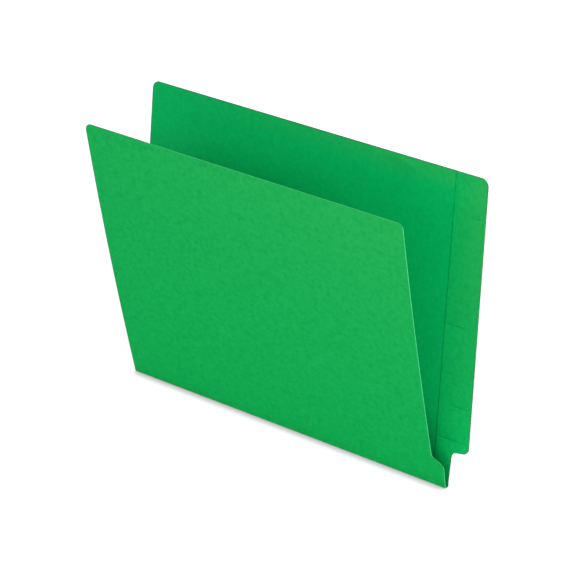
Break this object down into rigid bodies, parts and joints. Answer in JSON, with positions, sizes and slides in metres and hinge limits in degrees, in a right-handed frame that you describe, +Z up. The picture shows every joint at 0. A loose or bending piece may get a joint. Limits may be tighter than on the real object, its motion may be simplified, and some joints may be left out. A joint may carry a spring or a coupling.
{
  "type": "side tab folder",
  "caption": "Letter size end tab file folder of green card with a reinforced full-height side tab and an undercut front panel, standing half open on its fold.",
  "frame": {"origin": "middle of the underside of the fold strip, on the surface the folder stands on", "axes": "+X along the fold towards the tab, +Z up, the back panel leans to +Y and the front panel to -Y"},
  "size_m": [0.3112, 0.0786, 0.2391],
  "materials": {
    "folder_stock": "matte uncoated card",
    "tab_stock": "matte uncoated card",
    "adhesive": "dried white glue"
  },
  "bodies": {
    "fold": {"fold_strip": "folder_stock"},
    "back": {"back_panel": "folder_stock", "tab_adhesive": "adhesive", "tab_reinforcement": "tab_stock"},
    "front": {"front_panel": "folder_stock"}
  },
  "joints": [
    {"name": "back_crease", "type": "hinge", "parent": "fold", "child": "back", "pos_m": [0, 0.0014, 0.00028], "axis": [-1, 0, 0], "range_deg": [-8.36, 81.64]},
    {"name": "front_crease", "type": "hinge", "parent": "fold", "child": "front", "pos_m": [0, -0.0014, 0.00028], "axis": [1, 0, 0], "range_deg": [-9.84, 80.16]}
  ]
}
